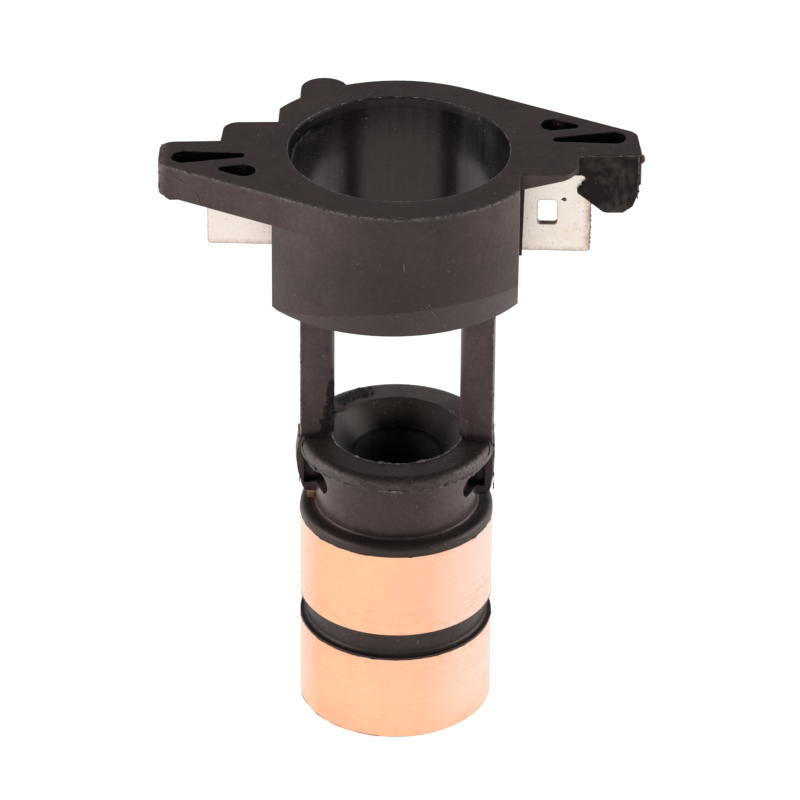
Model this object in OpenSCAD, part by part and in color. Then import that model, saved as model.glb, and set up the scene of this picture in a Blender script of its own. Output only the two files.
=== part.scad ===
// Slip ring of a compact alternator.
// One black moulding holds two copper rings and two flat tinned conductors. The collar at the
// top fits the shaft, the two legs lie in grooves of the shaft under the bearing, and the rings
// run under the brushes outside the bearing. The field winding is joined to the two plates.
// Z is the shaft's axis with the lower end at zero. X runs along the arms, with the deeper hook
// at +X. Half a turn about Z carries one arm, leg and plate onto the other.

/* [Slip rings] */
// Outside diameter of the copper rings
ring_d = 15.5; // [15.1:0.1:15.9]
// Height of each copper ring
ring_h = 7.3; // [6:0.1:9]
// Wall thickness of the copper rings
ring_wall = 1.1; // [0.9:0.05:1.3]
// Width of the insulating groove between the rings
ring_gap = 2.4; // [1.8:0.1:4]
// Depth of that groove below the face of the rings
groove_depth = 0.5; // [0.4:0.05:0.9]
// Height of the lip under the lower ring
lip_h = 0.2; // [0.1:0.05:0.5]
// Height of the shoulder above the upper ring
shoulder_h = 0.9; // [0.7:0.05:1.5]

/* [Neck and washer] */
// Diameter of the bore for the end of the shaft
bore_d = 7; // [6.4:0.1:7.6]
// Diameter of the neck between the shoulder and the washer
neck_d = 13; // [12.6:0.1:13.4]
// Height of the neck with its washer
neck_h = 6.3; // [6:0.1:8]
// Diameter of the washer at its rim
washer_d = 15.6; // [15.2:0.1:16]
// Rounding of the washer's upper edge
washer_round = 0.65; // [0.4:0.05:0.9]
// Height of the washer's rounded rim
washer_rim_h = 1.1; // [1:0.1:1.4]
// Diameter of the funnel's mouth
funnel_d = 10.4; // [9.6:0.1:10.8]

/* [Legs] */
// Distance from the axis to the outside of a leg
leg_out_r = 7.75; // [7.65:0.05:7.9]
// Thickness of a leg from inside to outside
leg_t = 2.75; // [2.5:0.05:2.9]
// Angle that a leg spans about the axis
leg_angle = 22; // [18:1:26]
// Clear height between the washer and the collar, where the bearing sits
bearing_gap = 14.65; // [12:0.05:20]

/* [Collar] */
// Diameter of the collar's bore
collar_bore_d = 17; // [16.6:0.1:17.4]
// Diameter of the collar's round front and back
collar_d = 22.9; // [22.4:0.1:23.4]
// Width across the collar's two flats
collar_w = 19.1; // [18.8:0.1:19.6]
// Height from the collar's lower end to the top of the flange
collar_h = 10.85; // [10.2:0.05:13]
// Height of the sloping band round the collar's lower end
band_h = 2.5; // [1.2:0.1:2.8]
// Widening of the bore at its upper rim
rim_relief = 0.2; // [0.1:0.05:0.4]

/* [Flange and arms] */
// Thickness of the flange
flange_t = 2.7; // [2.5:0.1:3]
// Distance from the axis to the tip of the +X arm
arm_reach = 18.87; // [18.4:0.01:20]
// How much less the other arm reaches, where its tip is worn
tip_wear = 0.28; // [0:0.02:0.5]
// Direction square to an arm's long outer edge
arm_angle = 63; // [61:0.5:64]
// Slope of an arm's straight inner edge
edge_slope = 3.5; // [2:0.5:5]
// Thickness of the web over a conductor's plate
web_t = 1.75; // [1.5:0.05:2]
// Depth of the ledge that runs beside the web
ledge_w = 3.4; // [2.8:0.1:3.6]
// Depth of the hook on the +X arm below the top of the flange
hook_drop = 5.06; // [4.7:0.02:5.6]
// Depth of the hook on the other arm
short_hook_drop = 4.4; // [4.2:0.05:4.6]
// Thickness of a hook
hook_t = 1.5; // [1.3:0.1:1.7]

/* [Conductors] */
// Thickness of the sheet copper
sheet_t = 0.6; // [0.4:0.05:0.7]
// Width of the strip inside a leg
strip_w = 0.6; // [0.4:0.05:0.7]
// Distance from the tip of the +X arm to the end of the plate beneath it
plate_inset = 3.9; // [3.6:0.02:4.2]
// Height of the plate
plate_h = 6.85; // [6.5:0.05:7.2]
// Width of the hole in the plate
hole_w = 1.5; // [1:0.1:2]
// Height of the hole in the plate
hole_h = 2.13; // [1.2:0.03:2.4]

/* [Hidden] */
$fn = 96;
eps = 0.01;

// Colours of the three materials
phenolic = "#3a3332";
copper = "#e8a179";
tin = "#e6d8c8";

// Heights up the axis
lower_z = lip_h;
groove_z = lower_z + ring_h;
upper_z = groove_z + ring_gap;
shoulder_z = upper_z + ring_h;
neck_z = shoulder_z + shoulder_h;
washer_z = neck_z + neck_h;
collar_z = washer_z + bearing_gap;
top_z = collar_z + collar_h;
flange_z = top_z - flange_t;
web_z = top_z - web_t;

// Radii about the axis
ring_r = ring_d / 2;
ring_in_r = ring_r - ring_wall;
bore_r = bore_d / 2;
neck_r = neck_d / 2;
collar_r = collar_d / 2;
collar_bore_r = collar_bore_d / 2;
flat_x = collar_w / 2;
leg_in_r = leg_out_r - leg_t;

// Overlap of a piece with what it stands on
root = 0.5;

// Lower body: lip, shoulder, washer and the bore with its funnel
lip_in = 0.25;
shoulder_round = 0.45;
neck_fillet = 0.2;
washer_top_r = washer_d / 2 - washer_round;
washer_edge_z = washer_z - washer_rim_h;
washer_root_z = washer_edge_z - 0.6;
funnel_depth = funnel_d / 2 - bore_r;
mouth_bevel = 0.4;

// Groove between the rings: black caps over the ends of the rings, and its rounded corners
groove_r = ring_r - groove_depth;
cap_t = 0.2;
groove_fillet = 0.3;

// Nose of a leg, towards the axis
leg_nose = 1.3;

// Foot of a leg: distances beyond the leg's outside, with their share of the foot's height
foot_z = neck_z + 1;
foot_h = washer_z + 0.2 - foot_z;
foot_shape = [[-0.65, 0], [-0.35, 0.04], [-0.07, 0.16], [0.25, 0.4],
              [0.35, 0.58], [0.35, 0.7], [0.2, 0.9], [0, 1]];
// Share of that bulge on the foot at +X and on the other one
right_bulge = 0.3;
left_bulge = 1;
// Rounding of a foot's lower end, seen along X
foot_round = 0.9;

// Windows between a foot and the neck, to the front and back of a web that holds the strip.
// Angles are from the middle of the leg. A pocket runs on from each window round the neck.
right_foot_wall = 0.55;
left_foot_wall = 0.25;
web_angle = 5.5;
window_overcut = 3;
window_floor_z = foot_z + 1.1;
window_top_z = washer_root_z - 0.15;
pocket_h = 1.5;
pocket_end = 27;
pocket_depth = 0.6;
pocket_out = 0.3;

// Collar: ribs inside it, its upper rim and the middle of its two flats
rib_h = 4.6;
rim_h = 0.8;
flat_shift = -0.07;

// Band round the collar's lower end: a wider arc at the front and another at the back
band_r = collar_r + 0.35;
band_spread = 0.9;
band_pos = [-0.6, 1.25];

// Plan of an arm, for the one at +X
step_x = arm_reach - 4.92;
step_y = -0.6;
tip_round = 1.2;
tip_back = 0.3;
toe_round = 0.4;
worn_toe_round = 1.2;
relief_y = 0.6;

// Nub left on the tip of the +X arm, where the moulding broke off its gate
nub_r = 0.42;
nub_in = 0.15;
nub_y = 0.05;
nub_drop = 0.5;

// Ledge beside an arm's inner edge
ledge_lean = 0.1;
ledge_skew = 0.2;
ledge_round = 1.3;
ledge_tip_t = 0.3;
ledge_root_t = 1.45;

// Blind slots that keep an arm's walls even: middles and radii of their wide and narrow ends
long_slot = [[arm_reach - 2.2, 2.35], 1, [12.3, 1.87], 0.42];
short_slot = [[11.87, 4.32], 0.97, [13.5, 4.15], 0.42];
slot_shift = 0.15;
slot_floor = 0.6;

// Lug on the back of the flange
lug_r = 1.85;
lug_root = 2.7;
lug_pos = [-6.25, 9.77];

// Hook of an arm, seen from the front
hook_side = 0.15;
worn_hook_side = 0.03;
hook_root = 0.5;
sole_round = 0.92;
toe_back = 2.35;
heel_back = 1.2;
heel_h = 1.8;
heel_bulge = [0.45, 0.55];
worn_heel = 0.5;
barb_r = 0.34;
barb_drop = 3.12;
notch_r = 0.36;
notch_d = 0.6;

// Flat conductors
plate_x = flat_x + 0.3;
plate_z = web_z - plate_h;
plate_root = 0.7;
plate_round = 0.3;
hole_x = plate_x + 1.77;
hole_z = plate_z + 3.4;
hole_round = 0.25;
bridge_z = plate_z + 0.2;
bridge_h = 1.6;
strip_x = leg_out_r - 0.85;
weld_h = 4.5;
insulation = 0.45;
jog_h = 1;

// Pad on a flat of the collar where a plate comes out
pad_t = 0.3;
pad_draft = 0.15;
pad_w = 1.8;
pad_sill = 0.2;

// Height at which the longer strip has turned in, clear of the window beside it
turn_z = washer_root_z + 0.3;
// Distance from the axis to a strip's middle where it touches a ring
weld_x = ring_in_r - strip_w / 2;
// The same where the longer strip passes behind the upper ring
pass_x = weld_x - insulation;

// Y of an arm's straight inner edge at a given X
function edge_y(x) = step_y + (x - step_x) * tan(edge_slope);

// Y of the line at distance r from the axis that runs along an arm's outer edge
function outer_y(x, r) = (r - x * cos(arm_angle)) / sin(arm_angle);

// Unit vector in a given direction
function toward(angle) = [cos(angle), sin(angle)];

// Two circles and the straight sides that join them, drawn in by a hair so that each side
// crosses its circles instead of just touching them
module link(a, ra, b, rb) {
    away = b - a;
    turn = atan2(away.y, away.x);
    side = acos((ra - rb) / norm(away));
    translate(a) circle(ra);
    translate(b) circle(rb);
    polygon([for (p = [[a, ra, side], [b, rb, side], [b, rb, -side], [a, ra, -side]])
        p[0] + (p[1] - eps) * toward(turn + p[2])]);
}

// An upright flat piece drawn in X and Z, from y0 to y1
module upright(y0, y1) {
    translate([0, y1, 0])
        rotate([90, 0, 0])
            linear_extrude(y1 - y0)
                children();
}

// The same piece on both sides of the axis
module both_sides() {
    for (turn = [0, 180])
        rotate(turn) children();
}

// Fills the corner at the origin between an upright face and a level one, leaving a hollow round
module fillet(r) {
    difference() {
        translate([-eps, -eps]) square(r + eps);
        translate([r, r]) circle(r);
    }
}

// A profile in radius and height, swept through an angle centred on +X
module sector(angle) {
    rotate(-angle / 2)
        rotate_extrude(angle = angle)
            children();
}

// Body under and between the rings, the neck and the washer, in radius and height
module lower_profile() {
    polygon([
        [bore_r + mouth_bevel, 0],
        [ring_r - lip_in, 0],
        [ring_r - lip_in, lower_z],
        [ring_in_r, lower_z],
        [ring_in_r, groove_z],
        [ring_r, groove_z],
        [ring_r, groove_z + cap_t],
        [groove_r, groove_z + cap_t],
        [groove_r, upper_z - cap_t],
        [ring_r, upper_z - cap_t],
        [ring_r, upper_z],
        [ring_in_r, upper_z],
        [ring_in_r, shoulder_z],
        [ring_r, shoulder_z],
        [ring_r, neck_z - shoulder_round],
        [ring_r - shoulder_round, neck_z],
        [neck_r, neck_z],
        [neck_r, washer_root_z],
        [washer_d / 2, washer_edge_z],
        [washer_d / 2, washer_z - washer_round],
        [washer_top_r, washer_z],
        [funnel_d / 2, washer_z],
        [bore_r, washer_z - funnel_depth],
        [bore_r, mouth_bevel]]);
    translate([ring_r - shoulder_round, neck_z - shoulder_round])
        circle(shoulder_round);
    translate([washer_top_r, washer_z - washer_round])
        circle(washer_round);
    translate([neck_r, neck_z])
        fillet(neck_fillet);
    translate([groove_r, groove_z + cap_t])
        fillet(groove_fillet);
    translate([groove_r, upper_z - cap_t])
        mirror([0, 1]) fillet(groove_fillet);
}

// A leg from the washer up into the collar, with the rib that joins it to the bore and a
// rounded nose towards the axis
module leg() {
    leg_h = collar_z + rib_h - washer_edge_z;
    intersection() {
        union() {
            sector(leg_angle)
                translate([leg_in_r, washer_edge_z])
                    square([leg_t, leg_h]);
            sector(leg_angle)
                translate([leg_in_r, collar_z])
                    square([collar_bore_r + root - leg_in_r, rib_h]);
        }
        translate([leg_in_r + leg_nose, 0, washer_edge_z - 1])
            linear_extrude(leg_h + 2) {
                circle(leg_nose);
                translate([-leg_nose / 10, -leg_t])
                    square(2 * leg_t);
            }
    }
}

// The end of a leg that reaches down outside the neck, rounded at its lower end
module foot(bulge) {
    foot_in = neck_r - root;
    intersection() {
        sector(leg_angle)
            polygon(concat(
                [[foot_in, foot_z + foot_h], [foot_in, foot_z]],
                [for (p = foot_shape)
                    [leg_out_r + (p.x > 0 ? p.x * bulge : p.x), foot_z + p.y * foot_h]]));
        translate([foot_in - 1, 0, foot_z + 2 * eps])
            rotate([90, 0, 90])
                linear_extrude(leg_out_r)
                    foot_front();
    }
}

// Outline of a foot from its side, level and round below
module foot_front() {
    foot_w = 2 * leg_out_r * sin(leg_angle / 2);
    translate([-foot_w / 2, foot_round])
        square([foot_w, foot_h]);
    translate([foot_round - foot_w / 2, 0])
        square([foot_w - 2 * foot_round, foot_round + eps]);
    for (side = [-1, 1])
        translate([side * (foot_w / 2 - foot_round), foot_round])
            circle(foot_round);
}

// Openings between a foot and the neck, each with a pocket that runs on round the neck to a
// round end
module foot_windows(wall) {
    window_in = neck_r - pocket_depth;
    window_end = leg_angle / 2 + window_overcut;
    for (side = [-1, 1]) {
        rotate(side * (web_angle + window_end) / 2)
            sector(window_end - web_angle)
                translate([window_in, window_floor_z])
                    square([leg_out_r - wall - window_in, window_top_z - window_floor_z]);
        rotate(side * (web_angle + pocket_end) / 2)
            sector(pocket_end - web_angle - 1)
                translate([window_in + eps, window_floor_z + eps])
                    square([pocket_depth + pocket_out, pocket_h]);
        rotate(side * pocket_end)
            translate([window_in, 0, window_floor_z + pocket_h / 2])
                rotate([0, 90, 0])
                    cylinder(h = pocket_depth + pocket_out, r = pocket_h / 2);
    }
}

// Body below the bearing, with the feet of both legs and the bore through it
module lower_body() {
    difference() {
        union() {
            rotate_extrude() lower_profile();
            foot(right_bulge);
            rotate(180) foot(left_bulge);
        }
        foot_windows(right_foot_wall);
        rotate(180) foot_windows(left_foot_wall);
        translate([0, 0, -eps])
            cylinder(h = washer_z, r = bore_r);
        translate([0, 0, washer_z - funnel_depth])
            cylinder(h = funnel_depth + eps, r1 = bore_r, r2 = funnel_d / 2 + eps);
    }
}

// Collar cut to its flats, with the sloping band at its lower end
module collar() {
    spread = collar_h * band_spread / band_h;
    translate([0, 0, collar_z])
        intersection() {
            cylinder(h = collar_h, r = collar_r);
            translate([flat_shift - flat_x, -collar_r, 0])
                cube([collar_w, 2 * collar_r, collar_h]);
            translate([band_pos.x, band_pos.y, 0])
                cylinder(h = collar_h, r1 = band_r, r2 = band_r + spread);
            translate([band_pos.x, -band_pos.y, 0])
                cylinder(h = collar_h, r1 = band_r, r2 = band_r + spread);
        }
}

module collar_bore() {
    translate([0, 0, collar_z - eps])
        cylinder(h = collar_h + 2 * eps, r = collar_bore_r);
    translate([0, 0, top_z - rim_h])
        cylinder(h = rim_h + eps, r1 = collar_bore_r, r2 = collar_bore_r + rim_relief);
}

// Outline of an arm in plan, between its long outer edge and its straight inner edge
module arm_plan(reach, back, toe_r) {
    tip_x = reach - back - tip_round;
    tip = [tip_x, outer_y(tip_x, collar_r - tip_round)];
    toe = [reach - toe_r, edge_y(reach) + toe_r];
    polygon([
        [0, 0],
        collar_r * toward(arm_angle),
        tip + tip_round * toward(arm_angle),
        tip + [tip_round, 0],
        toe + [toe_r, 0],
        toe + toe_r * toward(edge_slope - 90),
        [step_x, step_y],
        [flat_x - root, edge_y(flat_x - root)]]);
    translate(tip) circle(tip_round);
    translate(toe) circle(toe_r);
}

// Outline of the ledge beside the straight inner edge
module ledge_plan() {
    front = step_y - ledge_w;
    corner = [step_x - ledge_lean - ledge_round, front + ledge_skew + ledge_round];
    polygon([
        [flat_x - root, front],
        corner + [0, -ledge_round],
        corner + [ledge_round, 0],
        [step_x, step_y],
        [step_x, step_y + root],
        [flat_x - root, step_y + root]]);
    translate(corner) circle(ledge_round);
}

// Side view of the ledge, thin at its end and thicker at the collar
module ledge_side() {
    polygon([
        [flat_x - root, top_z - ledge_root_t],
        [step_x, top_z - ledge_tip_t],
        [step_x, top_z],
        [flat_x - root, top_z]]);
}

// An arm: the flange's thickness, thinner over the plate, with the ledge beside it
module arm(reach, back, toe_r) {
    below = step_y - ledge_w - 1;
    difference() {
        translate([0, 0, flange_z])
            linear_extrude(flange_t) arm_plan(reach, back, toe_r);
        translate([flat_x - root, below, flange_z - 1])
            cube([step_x + notch_d - flat_x + root, relief_y - below, web_z - flange_z + 1]);
    }
    intersection() {
        translate([0, 0, flange_z])
            linear_extrude(flange_t) ledge_plan();
        upright(below, step_y + root) ledge_side();
    }
}

// Outline of a hook in X and Z, with its heel drawn to a scale and the barb that points back
// at the plate
module hook_outline(side, drop, heel) {
    sole = top_z - drop;
    barb = [step_x - 0.05 + barb_r, top_z - barb_drop];
    notch = [step_x + notch_d - notch_r, web_z - notch_r];
    difference() {
        union() {
            link([side - toe_back, sole + sole_round], sole_round, barb, barb_r);
            polygon([
                [barb.x, top_z - hook_root],
                [side, top_z - hook_root],
                [side, sole + heel * heel_h],
                [side - heel * heel_bulge.x, sole + heel * heel_bulge.y],
                [side - heel * heel_back, sole],
                [side - toe_back, sole],
                barb]);
        }
        link(notch, notch_r, notch - [1, 0], notch_r - eps);
    }
}

module hook(side, drop, heel) {
    translate([step_x, step_y, 0])
        rotate(edge_slope)
            translate([-step_x, 0, 0])
                upright(0, hook_t) hook_outline(side, drop, heel);
}

// Cuts the long and short slots of an arm
module arm_slots() {
    for (slot = [long_slot, short_slot])
        translate([0, 0, flange_z + slot_floor])
            linear_extrude(flange_t)
                link(slot[0], slot[1], slot[2], slot[3]);
}

module lug() {
    translate([lug_pos.x, lug_pos.y, flange_z])
        cylinder(h = flange_t, r = lug_r);
    translate([lug_pos.x - lug_r, lug_pos.y - lug_root, flange_z])
        cube([2 * lug_r, lug_root, flange_t]);
}

module nub() {
    translate([arm_reach - nub_in, nub_y, top_z - nub_drop])
        sphere(nub_r);
}

// Collar with its flange: the +X arm with its nub, the worn arm and the lug, bored and slotted
module flanged_collar() {
    difference() {
        union() {
            collar();
            arm(arm_reach, tip_back, toe_round);
            nub();
            rotate(180) arm(arm_reach - tip_wear, 0, worn_toe_round);
            lug();
        }
        collar_bore();
        translate([0, slot_shift, 0])
            both_sides() arm_slots();
    }
}

// Low pad on a flat of the collar, round the place where the plate comes out
module exit_pad() {
    upright(-pad_w / 2, pad_w / 2)
        polygon([
            [flat_x - root, plate_z - pad_sill],
            [flat_x + pad_t - pad_draft, plate_z - pad_sill],
            [flat_x + pad_t, web_z],
            [flat_x - root, web_z]]);
}

module slip_ring(z) {
    translate([0, 0, z])
        difference() {
            cylinder(h = ring_h, r = ring_r);
            translate([0, 0, -eps])
                cylinder(h = ring_h + 2 * eps, r = ring_in_r);
        }
}

// Plate with its rounded lower corner
module plate_outline() {
    start_x = flat_x - plate_root;
    end_x = arm_reach - plate_inset;
    difference() {
        union() {
            translate([start_x, plate_z + plate_round])
                square([end_x - start_x, plate_h - plate_round]);
            translate([start_x, plate_z])
                square([end_x - start_x - plate_round, plate_round + eps]);
            translate([end_x - plate_round, plate_z + plate_round])
                circle(plate_round);
        }
        plate_hole();
    }
}

// Rounded square hole in the plate
module plate_hole() {
    inner = [hole_w - 2 * hole_round, hole_h - 2 * hole_round];
    translate([hole_x, hole_z]) {
        square([hole_w, inner.y], center = true);
        square([inner.x, hole_h], center = true);
        for (x = [-1, 1], z = [-1, 1])
            translate([x * inner.x / 2, z * inner.y / 2])
                circle(hole_round);
    }
}

// Bridge through the collar's wall, then a strip of one width down the leg. The strip's middle
// follows points in X and Z from the top down.
module strip_outline(tail) {
    bridge_top = bridge_z + bridge_h;
    half = [strip_w / 2, 0];
    middle = concat([[strip_x, bridge_top]], tail);
    last = len(middle) - 1;
    polygon(concat(
        [[flat_x, bridge_top], [flat_x, bridge_z], [strip_x, bridge_z] + half],
        [for (i = [1 : last]) middle[i] + half],
        [for (i = [last : -1 : 0]) middle[i] - half]));
}

// One stamping: plate, bridge and strip, cut to lie against the rings
module stamping(tail) {
    difference() {
        union() {
            upright(-sheet_t / 2, sheet_t / 2) plate_outline();
            upright(-sheet_t / 2, sheet_t / 2) strip_outline(tail);
        }
        slip_ring(lower_z);
        slip_ring(upper_z);
    }
}

// Strip that shows under its foot, turns in at the shoulder and ends behind the upper ring
short_tail = [
    [strip_x, neck_z + 0.1],
    [weld_x, shoulder_z],
    [weld_x, shoulder_z - weld_h]];

// Strip that turns in at the washer, passes the upper ring and ends behind the lower one
long_tail = [
    [strip_x, turn_z + jog_h],
    [pass_x, turn_z],
    [pass_x, groove_z + jog_h],
    [weld_x, groove_z],
    [weld_x, groove_z - weld_h]];

module moulded_body() {
    color(phenolic)
        difference() {
            union() {
                flanged_collar();
                hook(arm_reach - hook_side, hook_drop, 1);
                rotate(180)
                    hook(arm_reach - tip_wear - worn_hook_side, short_hook_drop, worn_heel);
                both_sides() exit_pad();
                both_sides() leg();
                lower_body();
            }
            stamping(long_tail);
            rotate(180) stamping(short_tail);
        }
}

module upper_slip_ring() {
    color(copper) slip_ring(upper_z);
}

module lower_slip_ring() {
    color(copper) slip_ring(lower_z);
}

module upper_ring_conductor() {
    color(tin) rotate(180) stamping(short_tail);
}

module lower_ring_conductor() {
    color(tin) stamping(long_tail);
}

moulded_body();
upper_slip_ring();
lower_slip_ring();
upper_ring_conductor();
lower_ring_conductor();
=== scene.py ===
# %% [markdown]
# # A slip ring from an alternator
# One black moulding carries two copper rings and two tinned contact plates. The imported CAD
# model already has every solid in its place. This lesson gives the solids the finish of the
# real, slightly rough moulding, and adds what is too fine for a solid: flash along the edges,
# chips, torn places and loose fibres. The model is in metres, and this lesson thinks in
# millimetres and multiplies by MM at the last moment.

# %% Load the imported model
import math

import bpy
import numpy as np
from mathutils import Matrix, Vector


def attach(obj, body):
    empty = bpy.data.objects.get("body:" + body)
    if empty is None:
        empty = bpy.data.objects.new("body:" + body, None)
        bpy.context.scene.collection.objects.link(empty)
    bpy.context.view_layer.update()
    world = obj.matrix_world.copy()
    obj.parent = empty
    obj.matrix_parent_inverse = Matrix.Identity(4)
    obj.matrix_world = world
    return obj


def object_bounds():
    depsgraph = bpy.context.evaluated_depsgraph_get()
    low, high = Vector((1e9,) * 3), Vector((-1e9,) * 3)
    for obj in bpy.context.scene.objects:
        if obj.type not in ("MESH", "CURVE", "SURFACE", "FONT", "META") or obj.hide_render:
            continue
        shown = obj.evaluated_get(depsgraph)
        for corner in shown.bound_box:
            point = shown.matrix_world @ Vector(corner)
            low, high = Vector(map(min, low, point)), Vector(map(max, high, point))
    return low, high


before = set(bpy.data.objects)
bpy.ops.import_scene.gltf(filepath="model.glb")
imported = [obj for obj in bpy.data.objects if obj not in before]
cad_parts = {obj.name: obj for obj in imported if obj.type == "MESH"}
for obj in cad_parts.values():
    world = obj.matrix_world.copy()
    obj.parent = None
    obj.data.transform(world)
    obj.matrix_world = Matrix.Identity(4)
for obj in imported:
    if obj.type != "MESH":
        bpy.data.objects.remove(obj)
cad_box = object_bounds()
MM = 0.001
LOW, HIGH = (np.array(corner) / MM for corner in cad_box)
print("packed nodes:", ", ".join(sorted(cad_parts)))
print("box in mm:", LOW.round(2), HIGH.round(2))

# %% [markdown]
# ## The camera
# The photograph was taken from about thirty degrees above, from far away, so the sides of the
# rings stay almost parallel. A long lens at half a metre gives the same mild perspective. The
# picture is turned by half a degree, which is a roll about the line of sight. The camera's axes
# are worked out as three unit vectors and set as a rotation matrix.

# %% Camera
AIM = Vector((0.22 * MM, 0.0066 * MM, 27.195 * MM))
AZIMUTH, ELEVATION, ROLL = (math.radians(a) for a in (1.7, 30.488, 0.4554))
DISTANCE = 471.68 * MM
LENS_MM, SENSOR_MM, FARTHEST_M = 266.44, 36, 10


def camera_matrix(aim, azimuth, elevation, roll, distance):
    """A camera on a sphere round its aim. Its right vector lies level, and the roll turns right
    and up about the line of sight."""
    out = Vector((math.sin(azimuth) * math.cos(elevation),
                  -math.cos(azimuth) * math.cos(elevation), math.sin(elevation)))
    level = Vector((math.cos(azimuth), math.sin(azimuth), 0))
    rise = out.cross(level)
    right = level * math.cos(roll) + rise * math.sin(roll)
    up = rise * math.cos(roll) - level * math.sin(roll)
    turned = Matrix((right, up, out)).transposed().to_4x4()
    return Matrix.Translation(aim + out * distance) @ turned


eye = bpy.data.objects.new("camera", bpy.data.cameras.new("camera"))
bpy.context.scene.collection.objects.link(eye)
bpy.context.scene.camera = eye
eye.data.lens = LENS_MM
eye.data.sensor_width = SENSOR_MM
eye.data.clip_end = FARTHEST_M
eye.matrix_world = camera_matrix(AIM, AZIMUTH, ELEVATION, ROLL, DISTANCE)
print("camera at", [round(v / MM, 1) for v in eye.matrix_world.translation], "mm")

# %% [markdown]
# ## Helpers for materials
# A material is a small graph. One helper adds a node, sets its values and joins its inputs,
# and a few more name the sums that every finish needs: noise, ramps, bands and blends. Colours
# are laid over each other like coats of paint, each with a share that says where it covers.

# %% Node helpers


def add(tree, kind, sockets=None, **settings):
    """Adds a shader node. A socket is given a value, or the output of another node."""
    made = tree.nodes.new("ShaderNode" + kind)
    for key, value in settings.items():
        setattr(made, key, value)
    for key, value in (sockets or {}).items():
        if isinstance(value, bpy.types.NodeSocket):
            tree.links.new(value, made.inputs[key])
        else:
            made.inputs[key].default_value = value
    return made


def new_material(name):
    """An empty node material, with its output node and the object's coordinates in mm."""
    material = bpy.data.materials.new(name)
    material.use_nodes = True
    tree = material.node_tree
    tree.nodes.clear()
    output = add(tree, "OutputMaterial")
    metres = add(tree, "TexCoord").outputs["Object"]
    return material, tree, output, scaled(tree, metres, 1000)


def principled(material, output, sockets):
    """Gives a material one Principled shader with these values."""
    shader = add(material.node_tree, "BsdfPrincipled", sockets)
    material.node_tree.links.new(shader.outputs[0], output.inputs["Surface"])
    print(material.name, "has", len(material.node_tree.nodes), "nodes")
    return material


def relief(tree, strength, depth, height, **normal):
    """A normal that is tilted by a height pattern, whose full depth is given in mm."""
    sockets = {"Strength": strength, "Distance": depth * MM, "Height": height, **normal}
    return add(tree, "Bump", sockets).outputs["Normal"]


def rounded_normal(tree, radius):
    """The normal rounded over a radius in mm, how far it agrees with the true normal, and the
    true normal. The agreement is 1 on flat skin and falls towards an edge."""
    soft = add(tree, "Bevel", {"Radius": radius * MM}, samples=6).outputs["Normal"]
    true = add(tree, "NewGeometry").outputs["True Normal"]
    facing = add(tree, "VectorMath", {0: soft, 1: true}, operation="DOT_PRODUCT").outputs["Value"]
    return soft, facing, true


# %% Sums of numbers


def grain(tree, place, scale, detail=2.0, stretch=(1, 1, 1), rough=0.5):
    """Noise that runs from 0 to 1, with a size of about 1/scale mm, squeezed per axis."""
    mapped = add(tree, "Mapping", {"Vector": place, "Scale": stretch}).outputs[0]
    sockets = {"Vector": mapped, "Scale": scale, "Detail": detail, "Roughness": rough}
    return add(tree, "TexNoise", sockets).outputs["Fac"]


def ramp(tree, value, low, high, start=0.0, end=1.0):
    """Straight ramp: start at low, end at high, and flat beyond."""
    sockets = {"Value": value, "From Min": low, "From Max": high, "To Min": start, "To Max": end}
    return add(tree, "MapRange", sockets).outputs[0]


def chain(tree, operation, values):
    """Joins any number of values by one sum, product or maximum."""
    total = values[0]
    for value in values[1:]:
        total = add(tree, "Math", {0: total, 1: value}, operation=operation).outputs[0]
    return total


def sum_of(tree, *values):
    return chain(tree, "ADD", values)


def product(tree, *values):
    return chain(tree, "MULTIPLY", values)


def largest(tree, *values):
    return chain(tree, "MAXIMUM", values)


def difference(tree, first, second):
    return chain(tree, "SUBTRACT", (first, second))


def magnitude(tree, value):
    return add(tree, "Math", {0: value}, operation="ABSOLUTE").outputs[0]


def band(tree, value, low, high, soft):
    """1 between low and high and 0 outside, with soft edges that lie inside."""
    return product(tree, ramp(tree, value, low, low + soft), ramp(tree, value, high, high - soft))


# %% Sums of places and colours


def axes(tree, place):
    """X, Y, Z, the absolute value of X, and the distance from the Z axis, in mm."""
    parts = add(tree, "SeparateXYZ", {0: place}).outputs
    flat = multiplied(tree, place, (1, 1, 0))
    radius = add(tree, "VectorMath", {0: flat}, operation="LENGTH").outputs["Value"]
    return parts["X"], parts["Y"], parts["Z"], magnitude(tree, parts["X"]), radius


def multiplied(tree, first, second):
    """Two colours or places multiplied part by part."""
    return add(tree, "VectorMath", {0: first, 1: second}, operation="MULTIPLY").outputs[0]


def scaled(tree, vector, amount):
    """A colour or place whose parts are all multiplied by one number."""
    return add(tree, "VectorMath", {0: vector, "Scale": amount}, operation="SCALE").outputs[0]


def far_from(tree, place, spot):
    """Distance in mm from a spot."""
    return add(tree, "VectorMath", {0: place, 1: spot}, operation="DISTANCE").outputs["Value"]


def blend_colours(tree, share, first, second):
    """Goes from the first colour to the second as share goes from 0 to 1."""
    mix = tree.nodes.new("ShaderNodeMix")
    mix.data_type = "RGBA"
    for slot, value in ((0, share), (6, first), (7, second)):
        if isinstance(value, bpy.types.NodeSocket):
            tree.links.new(value, mix.inputs[slot])
        else:
            mix.inputs[slot].default_value = value
    return mix.outputs[2]


def painted(tree, colour, coats):
    """Lays coats over a colour, one after another. A coat is a share and a colour."""
    for share, coat in coats:
        colour = blend_colours(tree, share, colour, coat)
    return colour


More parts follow.
